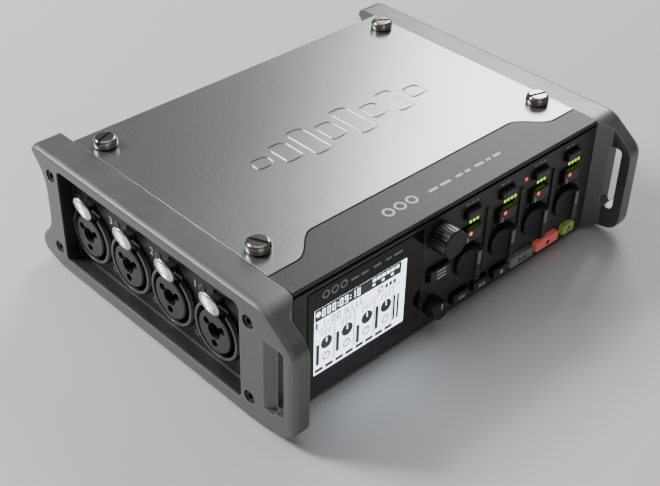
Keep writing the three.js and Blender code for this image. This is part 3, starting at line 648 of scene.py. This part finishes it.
def release_tab(y):
    """Round paddle with a ridged face, leaning out at the top, on its stem."""
    face = [(TAB_R - 0.5, -0.65), (TAB_R, -0.2), (TAB_R, 0.4), (TAB_R - 0.25, 0.65)]
    disc = lathe(face, "x", (0, 0), 56)
    ridges = [box(-0.83, -0.55, -2.9 + 0.25 * abs(k), 2.9 - 0.25 * abs(k), 0.82 * k - 0.2,
                  0.82 * k + 0.2) for k in range(-4, 5)]
    lean = Matrix.Translation((-TAB_X + 0.65, y, TAB_Z)) @ Matrix.Rotation(
        math.radians(-14), 4, "Y")
    return turned(merged(disc, *ridges), lean)


for index, y in enumerate(INPUT_Y):
    piece(f"tab_paddle_{index + 1}", release_tab(y), "tab", f"release_tab_{index + 1}_body",
          "bright_metal", [f"release_tab_{index + 1}"], bevel=0.12)
    stem = box(-TAB_X + 0.9, -79, y - 2, y + 2, TAB_Z - 1, TAB_Z + 1.4)
    piece(f"tab_stem_{index + 1}", stem, "jack", f"release_tab_{index + 1}_body", bevel=0.2)


def small_screw(u, v, face, outwards, axis="x", r=1.5):
    """Cross-head screw whose face looks along the axis, outwards being +1 or -1."""
    t = face + outwards * 0.55
    head = lathe([(r, face - outwards * 0.2), (r, face + outwards * 0.2),
                  (r * 0.8, t - outwards * 0.08), (r * 0.5, t)], axis, (u, v), 28)
    deep = sorted((t - outwards * 0.5, t + outwards))
    arm = r * 0.62
    cuts = [prism([(u - arm, v - 0.2), (u + arm, v - 0.2), (u + arm, v + 0.2),
                   (u - arm, v + 0.2)], axis, *deep),
            prism([(u - 0.2, v - arm), (u + 0.2, v - arm), (u + 0.2, v + arm),
                   (u - 0.2, v + arm)], axis, *deep)]
    return carve(head, cuts)


for index, y in enumerate(INPUT_Y):
    low = small_screw(y + 12.0, 10.4, -INPUT_PANEL, -1, r=1.7)
    up = small_screw(y + 8.6, 31.6, -INPUT_PANEL, -1, r=1.7)
    piece(f"input_screws_{index + 1}", merged(low, up), "lip", bevel=0.05)


def figure(name, text, size, place, way):
    """Raised number on a side panel that looks left (way -1) or right (way 1)."""
    curve = bpy.data.curves.new(name, "FONT")
    curve.body = text
    curve.size = size
    curve.extrude = 0.05
    curve.align_x = "CENTER"
    curve.align_y = "CENTER"
    curve.resolution_u = 3
    temporary = bpy.data.objects.new(name, curve)
    bpy.context.scene.collection.objects.link(temporary)
    graph = bpy.context.evaluated_depsgraph_get()
    mesh = bpy.data.meshes.new_from_object(temporary.evaluated_get(graph))
    bpy.data.objects.remove(temporary)
    bm = bmesh.new()
    bm.from_mesh(mesh)
    bpy.data.meshes.remove(mesh)
    upright = (Matrix.Rotation(math.pi / 2, 4, "X")
               @ Matrix.Rotation(way * math.pi / 2, 4, "Y"))
    turned(bm, Matrix.Translation(place) @ upright)
    piece(name, bm, "print", bevel=0)


for index, y in enumerate(INPUT_Y):
    figure(f"input_number_{index + 1}", str(index + 1), 4.2, (-INPUT_PANEL, y + 12.4, 31.4), -1)

# ------------------------------------------------------------------ display
window = prism(rounded(-70.6, -18, 5.6, 44.2, 1.2, 6), "y", -56.1, GLASS_FACE)
piece("display_glass", window, "window", slot="window_glass", replaces=["display_window"],
      bevel=0.2)
piece("lcd_panel", prism(rounded(*LCD, 0.3, 2), "y", GLASS_FACE + 0.1, GLASS_FACE - 0.03), "lcd",
      slot="screen", bevel=0)
ink, paper_marks = [], []
SEGMENTS = {"0": "abcdef", "1": "bc", "9": "abcdfg", "-": "g"}


def patch(points, paper=False):
    """Flat mark on the display, in ink or, lying over the ink, in the paper's colour."""
    layer = GLASS_FACE - (PAPER_LAYER if paper else INK_LAYER)
    return prism(points, "y", layer, layer + MARK_THICK)


def mark(x0, x1, z0, z1, paper=False):
    strokes = paper_marks if paper else ink
    strokes.append(patch([(x0, z0), (x1, z0), (x1, z1), (x0, z1)], paper))


def hoop(x, z, outer, inner, sides):
    ink.append(carve(patch(circle(x, z, outer, sides)),
                     [prism(circle(x, z, inner, sides), "y", GLASS_FACE - 1, GLASS_FACE + 1)]))


def digits(text, x, z, wide, tall, stroke, paper):
    """Seven-segment figures from their upper left corner."""
    half = (tall - stroke) / 2
    places = {"a": (0, 0, wide, stroke), "d": (0, 2 * half, wide, stroke),
              "g": (0, half, wide, stroke), "f": (0, 0, stroke, half + stroke),
              "e": (0, half, stroke, half + stroke),
              "b": (wide - stroke, 0, stroke, half + stroke),
              "c": (wide - stroke, half, stroke, half + stroke)}
    for figure in text:
        if figure == ":":
            for drop in (0.25, 0.65):
                mark(x, x + 1.2 * stroke, z - (drop + 0.14) * tall, z - drop * tall, paper)
            x += 2.4 * stroke
            continue
        for segment in SEGMENTS[figure]:
            u, v, w, h = places[segment]
            mark(x + u, x + u + w, z - v - h, z - v, paper)
        x += wide + 0.55 * wide


mark(-67.7, -28.6, 31.6, 36.38)  # inverted heading
digits("000:09:10", -64.6, 35.5, 1.45, 3.0, 0.42, True)
for k in range(6):
    mark(-42.0 + 2.15 * k, -40.4 + 2.15 * k, 34.4, 35.6, True)
    if k % 2 == 0:
        mark(-42.0 + 2.15 * k, -40.9 + 2.15 * k, 32.7, 33.6, True)
digits("1-001", -64.9, 30.8, 1.5, 2.7, 0.38, False)
for j in range(4):
    mark(-53.5 + 2.0 * j, -52.2 + 2.0 * j, 28.2, 28.6)
    mark(-53.5 + 2.0 * j, -53.1 + 2.0 * j, 28.6, 30.6)
mark(-67.3, -66.4, 28.3, 31.0)
mark(-67.5, -28.6, 27.3, 27.55)
for k, x in enumerate((-59.17, -50.04, -40.94, -31.9)):
    mark(x - 0.14, x + 0.14, 11.9, 27.3)
    for j in range(12):
        mark(x + 0.45, x + 0.75, 12.4 + 1.2 * j, 13.0 + 1.2 * j)
for x, low, high in ((-66.3, 12.9, 21.6), (-57.4, 14.0, 22.4), (-48.1, 12.1, 19.7),
                     (-39.3, 13.1, 23.0), (-31.0, 12.5, 23.2), (-29.2, 12.4, 23.0)):
    wide = 0.72 if x < -35 else 0.5
    mark(x - wide, x + wide, low, high)
for k, x in enumerate((-62.4, -53.1, -44.0, -35.0)):
    ink.append(patch(circle(x, 20.9, 2.55, 32)))
    mark(x - 0.22, x + 0.22, 21.0, 22.9, True)
    hoop(x, 15.1, 1.7, 1.25, 32)
    mark(x - 0.16, x + 0.16, 15.0, 16.4)
    for j in range(3):
        mark(x - 2.4 + 1.7 * j, x - 2.0 + 1.7 * j, 24.2, 26.2)
        mark(x - 2.4 + 1.7 * j, x - 1.3 + 1.7 * j, 25.8, 26.2)
for k in range(8):
    mark(-67.4 + 4.62 * k, -63.9 + 4.62 * k, 9.9, 11.3)
hoop(-38.1, 29.6, 1.3, 0.8, 24)
for j in range(3):
    mark(-35.9 + 1.9 * j, -34.6 + 1.9 * j, 28.7, 30.4)
paper_marks.append(patch(circle(-66.2, 34.3, 1.05, 24), True))
piece("lcd_ink_marks", merged(*ink), "lcd_ink", bevel=0)
piece("lcd_light_marks", merged(*paper_marks), "lcd", bevel=0)

# ------------------------------------------------------------------ keys and knobs
KEYS = [(f"function_key_{i + 1}", x, 40.0, 7.6, 3.4, "key") for i, x in enumerate(CHANNEL_X)]
KEYS += [(f"track_key_{i + 1}", x, 31.3, 9.4, 5.4, "key") for i, x in enumerate(CHANNEL_X)]
KEYS += [(name, x, 5.3, w, 4.2, mat) for name, x, w, mat in (
    ("rewind_key", 2.9, 8.4, "key"), ("forward_key", 13.9, 8.4, "key"),
    ("stop_key", 25.0, 8.4, "key"), ("play_key", 37.0, 13.4, "grey_key"),
    ("record_key", 52.3, 13.4, "red_key"), ("power_key", 65.4, 6.6, "green_key"))]
KEYS.append(("menu_key", -9.8, 22.6, 10.0, 5.4, "key"))
SLOTS = {"key": "black_key", "grey_key": "grey_key", "red_key": "red_key",
         "green_key": "green_key"}
for name, x, z, w, h, mat in KEYS:
    key = (x - w / 2, x + w / 2, z - h / 2, z + h / 2)
    rings = [(rounded(*key, 0.7, 5), KEY_FLANGE)]
    for step, t in ((0.0, KEY_FACE + 0.55), (0.14, KEY_FACE + 0.2), (0.5, KEY_FACE)):
        rings.append((rounded(*shrunk(key, step), 0.7, 5), t))
    cap = loft(rings, "y")
    back = merged(box(key[0], key[1], KEY_FLANGE - 0.9, KEY_FLANGE, key[2] - 0.8, key[3] + 0.8),
                  box(x - 1.1, x + 1.1, KEY_FLANGE - 0.1, STEM_END, z - 1.1, z + 1.1))
    piece(name + "_cap", merged(cap, back), mat, name + "_body", SLOTS[mat], [name], bevel=0)
    if mat == "key":
        plate = prism(rounded(*shrunk(key, 0.55), 0.5, 5), "y", KEY_FACE + 0.1,
                      KEY_FACE - KEY_MARK)
        piece(name + "_face", plate, "key_face", name + "_body", bevel=0)
    # Painted shade: a flat black ring on the panel round each key stands for the shaded gap round
    # it.
    rim = rounded(key[0] - 0.85, key[1] + 0.85, key[2] - 0.6, key[3] + 0.85, 1.2, 5)
    well = carve(prism(rim, "y", PANEL_FACE + 0.1, PANEL_FACE - 0.06),
                 [prism(rounded(*shrunk(key, -0.32), 0.9, 5), "y", -60, -50)])
    piece(name + "_well", well, "dark", bevel=0)


def track_knob(x):
    """Round knob scooped away on both sides of an upright grip."""
    skirt, front, low = PANEL_FACE - 1.7, KNOB_FRONT, PANEL_FACE - 0.4
    section = [(KNOB_R, low), (KNOB_R, skirt)]
    for k in range(13):
        t = k / 12
        section.append((KNOB_R - 5.9 * math.sin(t * math.pi / 2),
                        skirt - (skirt - front) * (1 - math.cos(t * math.pi / 2)) ** 0.9))
    section += [(-u, y) for u, y in reversed(section)]
    ridge = prism([(x + u, y) for u, y in section], "z", KNOB_Z - 8, KNOB_Z + 8)
    drum = lathe([(7.0, low), (7.0, skirt), (6.7, front + 0.4), (6.4, front - 0.01)], "y",
                 (x, KNOB_Z), 64)
    stem = lathe([(2.5, -57.6), (2.5, STEM_END)], "y", (x, KNOB_Z), 24)
    return merged(carve(drum, [ridge], "INTERSECT", weld=0), stem)


for index, x in enumerate(CHANNEL_X):
    body = f"track_knob_{index + 1}_body"
    piece(f"knob_{index + 1}_moulding", track_knob(x), "knob", body, "knob_plastic",
          [f"track_knob_{index + 1}"], bevel=0.22, angle=40)
    # Painted highlight: a pale grey strip on the upper part of the grip's front face stands for
    # the light it catches.
    strip = prism(rounded(x - 0.85, x + 0.85, KNOB_Z + 0.5, KNOB_Z + 6.2, 0.6, 6), "y",
                  KNOB_FRONT + 0.2, KNOB_FRONT - 0.08)
    piece(f"knob_{index + 1}_pointer", strip, "grip_highlight", body, bevel=0.05)


def ribbed(x, z, back, front, r_back, r_front, count, depth, cap):
    """Knob with fine ribs down its side, a smooth collar and a dished face."""
    def ring(r, ribs):
        points = []
        for k in range(count * 4):
            a = 2 * math.pi * k / (count * 4)
            rr = r - (depth if ribs and k % 4 in (2, 3) else 0)
            points.append((x + rr * math.cos(a), z + rr * math.sin(a)))
        return points
    rings = [(ring(r_back - 0.25, False), back), (ring(r_back, False), back - 0.25),
             (ring(r_back, False), back - 0.8), (ring(r_back, True), back - 0.85),
             (ring(r_front, True), front + cap), (ring(r_front, False), front + cap - 0.05),
             (ring(r_front, False), front + 0.45), (ring(r_front - 0.4, False), front + 0.04),
             (ring(r_front - 0.8, False), front), (ring(r_front - 1.2, False), front + 0.25)]
    return loft(rings, "y")


encoder = ribbed(ENCODER_X, ENCODER_Z, back=-58.2, front=-65.2, r_back=5.6, r_front=5.35,
                 count=30, depth=0.12, cap=0.9)
bore = prism(circle(ENCODER_X, ENCODER_Z, 3.3, 40), "y", -63.2, PANEL_FACE)
piece("encoder_cap", carve(encoder, [bore]), "knob", "encoder_knob_body", "knob_plastic",
      ["encoder_knob"], bevel=0.06, angle=50)
headphone = merged(ribbed(HEADPHONE_X, HEADPHONE_Z, back=-57.6, front=KNOB_FRONT, r_back=4.0,
                          r_front=3.8, count=22, depth=0.2, cap=0.7),
                   lathe([(1.6, -57.8), (1.6, STEM_END)], "y", (HEADPHONE_X, HEADPHONE_Z), 20))
piece("headphone_cap", headphone, "knob", "headphone_knob_body", "knob_plastic",
      ["headphone_knob"], bevel=0.05, angle=50)

# ------------------------------------------------------------------ lights on the panel
for index, x in enumerate(CHANNEL_X):
    on, off = [], []
    for k in range(METER_BARS):
        bar_x = x + 0.1 + METER_PITCH * k
        bar = prism(rounded(bar_x - 0.55, bar_x + 0.55, 34.95, 37.15, 0.35, 3), "y",
                    PANEL_FACE + 0.1, PANEL_FACE - 0.1)
        (on if k < METER_LIT[index] else off).append(bar)
    piece(f"meter_lit_{index + 1}", merged(*on), "led_green", bevel=0)
    piece(f"meter_unlit_{index + 1}", merged(*off), "led_off", bevel=0)
    lamp = lathe([(0.8, KEY_FACE + 0.05), (0.8, KEY_FACE - 0.1), (0.55, KEY_FACE - 0.2)], "y",
                 (x - 2.0, 32.6), 24)
    piece(f"track_lamp_{index + 1}", lamp, "led_amber" if index == 0 else "led_red",
          f"track_key_{index + 1}_body", bevel=0)
piece("status_lamp", prism(circle(36.0, 40.1, 0.7, 20), "y", PANEL_FACE + 0.1,
      PANEL_FACE - 0.12), "led_red", bevel=0)

# ------------------------------------------------------------------ printed marks
def flat_mark(axis, at, points):
    """Thin printed patch on a face that looks along the signed axis, such as -y."""
    plane, out = axis.strip("+-"), -1 if "-" in axis else 1
    low, high = sorted((at - 0.1 * out, at + 0.05 * out))
    return prism(points, plane, low, high)


def ring_mark(axis, at, u, v, r, wide=0.5):
    return carve(flat_mark(axis, at, circle(u, v, r, 40)),
                 [prism(circle(u, v, r - wide, 40), axis.strip("+-"), at - 2, at + 2)])


def dash(axis, at, u0, u1, v0, v1, r=0.3):
    return flat_mark(axis, at, rounded(u0, u1, v0, v1, r, 4))


def arrow(axis, at, u, v, r, way=1):
    return flat_mark(axis, at, [(u - way * r * 0.8, v - r), (u + way * r, v),
                                (u - way * r * 0.8, v + r)][::way])


# hood: a row of rings and dashes in place of words
hood_marks = [ring_mark("+z", COVER_TOP, -24.6 + 5.6 * k, -46.4, 2.3, 0.85) for k in range(3)]
for u0, u1 in ((-5.5, -1.2), (0.2, 5.4), (8.2, 11.6), (13.0, 15.6), (18.2, 22.8), (24.2, 26.4),
               (27.8, 31.8)):
    hood_marks.append(dash("+z", COVER_TOP, u0, u1, -47.7, -46.5, 0.4))
piece("hood_print", merged(*hood_marks), "print", bevel=0)

# panel: the same above the display, and short labels over the function keys
panel_marks = [ring_mark("-y", GLASS_FACE, -63.0 + 3.9 * k, 40.9, 1.6, 0.6) for k in range(3)]
for u0, u1 in ((-52.0, -48.6), (-47.6, -44.2), (-42.0, -38.4), (-36.4, -33.6), (-32.6, -28.4)):
    panel_marks.append(dash("-y", GLASS_FACE, u0, u1, 40.2, 41.1, 0.3))
piece("display_print", merged(*panel_marks), "dim_print", bevel=0)
labels = []
for index, x in enumerate(CHANNEL_X):
    for u0, u1 in ((-3.4, -1.2), (-0.6, 1.4), (2.0, 3.4))[:3 - index % 2]:
        labels.append(dash("-y", PANEL_FACE, x + u0, x + u1, 43.4, 44.0, 0.25))
    for k in range(11):  # level scale round the knob
        turn = math.radians(-60 + 30 * k)
        u, v = x + 8.4 * math.cos(turn), KNOB_Z + 8.4 * math.sin(turn)
        labels.append(flat_mark("-y", PANEL_FACE, circle(u, v, 0.28, 10)))
for k in range(9):
    turn = math.radians(-45 + 33.75 * k)
    u, v = HEADPHONE_X + 5.3 * math.cos(turn), HEADPHONE_Z + 5.3 * math.sin(turn)
    labels.append(flat_mark("-y", PANEL_FACE, circle(u, v, 0.25, 10)))
piece("panel_print", merged(*labels), "dim_print", bevel=0)

# right side, back and underside: screws, plain marks, vents and a blank plate
for index, y in enumerate(OUTPUT_Y):
    corners = [small_screw(y + side * 9.6, OUTPUT_Z + side * 9.6, JACK_PANEL, 1, r=1.4)
               for side in (-1, 1)]
    piece(f"output_screws_{index + 1}", merged(*corners), "lip", bevel=0.05)
    figure(f"output_number_{index + 1}", str(index + 1), 3.6, (JACK_PANEL, y - 10.2, 33.8), 1)
piece("headphone_print", merged(ring_mark("+x", JACK_PANEL, -34.0, 33.6, 1.7, 0.4),
      dash("+x", JACK_PANEL, -36.1, -35.2, 31.6, 33.6),
      dash("+x", JACK_PANEL, -32.8, -31.9, 31.6, 33.6)), "print", bevel=0)
piece("card_door_print", merged(dash("+x", JACK_PANEL + 0.4, 38.0, 39.2, 20.5, 26.5, 0.3),
      dash("+x", JACK_PANEL + 0.4, 42.8, 44.0, 20.5, 26.5, 0.3)), "dim_print",
      "card_door_body", bevel=0)
rear_screws = [small_screw(x, z, REAR_FACE, 1, "y", 1.5)
               for x, z in ((-73.5, 42.6), (73.5, 42.6), (-73.5, 4.2), (73.5, 4.2),
                            (56.8, 4.2), (56.8, 42.6))]
piece("rear_screws", merged(*rear_screws), "black_screw", bevel=0.05)
for index, z in enumerate((34.5, 13.5)):
    piece(f"timecode_print_{index + 1}", merged(
        ring_mark("+y", REAR_FACE, -66.0, z - 7.4, 1.0, 0.35),
        dash("+y", REAR_FACE, -63.6, -61.4, z - 7.7, z - 7.1)), "print", bevel=0)
inlet_marks = [dash("+y", REAR_FACE, u0, u1, 24.4, 24.9)
               for u0, u1 in ((63.0, 64.6), (65.4, 67.0), (67.8, 69.4))]
piece("power_inlet_print", merged(*inlet_marks), "print", bevel=0)
bottom_screws = [small_screw(x, y, BOTTOM_FACE, -1, "z", 1.9)
                 for x in (-71, 0, 71) for y in (-50, 55)]
piece("bottom_screws", merged(*bottom_screws), "black_screw", bevel=0.05)
# Painted shade: flat black slots stand for the vent openings.
vents = [dash("-z", BOTTOM_FACE, -34 + 5 * k, -31.6 + 5 * k, 22, 44, 1.1) for k in range(14)]
piece("bottom_vents", merged(*vents), "dark", bevel=0)
piece("bottom_plate", flat_mark("-z", BOTTOM_FACE, rounded(-52, 52, -44, -22, 1.5)),
      "plate", bevel=0)

# keys: plain symbols
for k, z in enumerate((24.2, 22.7, 21.2)):
    piece(f"menu_mark_{k + 1}", dash("-y", KEY_FACE - KEY_MARK, -12.2, -7.4, z - 0.32, z + 0.32),
          "print", "menu_key_body", bevel=0)
piece("rewind_mark", merged(arrow("-y", KEY_FACE - KEY_MARK, 1.9, 5.2, 0.85, -1),
      arrow("-y", KEY_FACE - KEY_MARK, 3.7, 5.2, 0.85, -1)), "print", "rewind_key_body", bevel=0)
piece("forward_mark", merged(arrow("-y", KEY_FACE - KEY_MARK, 13.1, 5.2, 0.85),
      arrow("-y", KEY_FACE - KEY_MARK, 14.9, 5.2, 0.85)), "print", "forward_key_body", bevel=0)
piece("stop_mark", dash("-y", KEY_FACE - KEY_MARK, 24.2, 25.8, 4.5, 6.1, 0.1), "print",
      "stop_key_body", bevel=0)
piece("play_mark", merged(arrow("-y", KEY_FACE, 35.9, 5.2, 0.95),
      dash("-y", KEY_FACE, 37.6, 38.2, 4.3, 6.1, 0.1),
      dash("-y", KEY_FACE, 38.8, 39.4, 4.3, 6.1, 0.1)), "dark", "play_key_body", bevel=0)
piece("record_mark", flat_mark("-y", KEY_FACE, circle(52.3, 5.3, 1.0, 32)), "deep_red",
      "record_key_body", bevel=0)
piece("power_mark", merged(ring_mark("-y", KEY_FACE, 65.4, 5.1, 1.15, 0.35),
      dash("-y", KEY_FACE - 0.03, 65.2, 65.6, 5.2, 6.9, 0.1)), "dark", "power_key_body",
      bevel=0)
for index, x in enumerate(CHANNEL_X):
    piece(f"track_mark_{index + 1}", dash("-y", KEY_FACE - KEY_MARK, x - 3.6, x - 3.1, 29.3, 31.3,
                                          0.1), "print", f"track_key_{index + 1}_body",
          bevel=0)
piece("headphone_marker", dash("-y", KNOB_FRONT, -12.1, -11.5, 9.4, 12.0, 0.2), "print",
      "headphone_knob_body", bevel=0)

# ------------------------------------------------------------------ stage
CAMERA_PLACE, CAMERA_TURNS = (-269.15, -269.28, 279.96 + LIFT), (44.34, 36.54, 1.43)
SENSOR, LENS = 36, 66.322909
yaw, pitch, roll = (math.radians(v) for v in CAMERA_TURNS)
forward = Vector((math.sin(yaw) * math.cos(pitch), math.cos(yaw) * math.cos(pitch),
                  -math.sin(pitch)))
right = Vector((math.cos(yaw), -math.sin(yaw), 0))
upward = right.cross(forward)
right, upward = (right * math.cos(roll) + upward * math.sin(roll),
                 upward * math.cos(roll) - right * math.sin(roll))
camera_data = bpy.data.cameras.new("camera")
camera_data.sensor_width, camera_data.lens = SENSOR, LENS
camera_data.clip_start, camera_data.clip_end = 0.01, 20
camera = bpy.data.objects.new("camera", camera_data)
camera.matrix_world = Matrix.Translation(Vector(CAMERA_PLACE) * MM) @ Matrix(
    (right, upward, -forward)).transposed().to_4x4()
bpy.context.scene.collection.objects.link(camera)
bpy.context.scene.camera = camera

floor_mesh = bmesh.new()
bmesh.ops.create_grid(floor_mesh, x_segments=40, y_segments=40, size=3.0)
ground = as_object(floor_mesh, "floor")
ground.data.materials.append(surface("floor_paper", (0.60, 0.60, 0.60), (0.63, 0.63, 0.63),
                                     0.75, grain=300, bump=0.02, blotch=3))


def area_light(name, place, aim, size, power):
    data = bpy.data.lights.new(name, "AREA")
    data.shape = "RECTANGLE"
    data.size, data.size_y = size
    data.energy = power
    lamp = bpy.data.objects.new(name, data)
    lamp.location = place
    lamp.rotation_mode = "QUATERNION"
    lamp.rotation_quaternion = (Vector(aim) - Vector(place)).to_track_quat("-Z", "Y")
    bpy.context.scene.collection.objects.link(lamp)


area_light("soft_box", (1.17, 0.63, 0.85), (0, 0, 0.03), (0.62, 0.62), 16)
area_light("edge_light", (-0.5, 0.65, 0.65), (-0.08, 0, 0.04), (0.3, 0.3), 13)
area_light("fill_light", (-0.5, -1.2, 0.5), (0, 0, 0.02), (0.8, 0.8), 1.4)
area_light("top_light", (0.1, 0.1, 1.6), (0, 0, 0), (1.4, 1.4), 6)

world = bpy.data.worlds.new("studio")
world.use_nodes = True
world.node_tree.nodes["Background"].inputs["Color"].default_value = (0.96, 0.98, 1.0, 1)
world.node_tree.nodes["Background"].inputs["Strength"].default_value = 0.16
bpy.context.scene.world = world
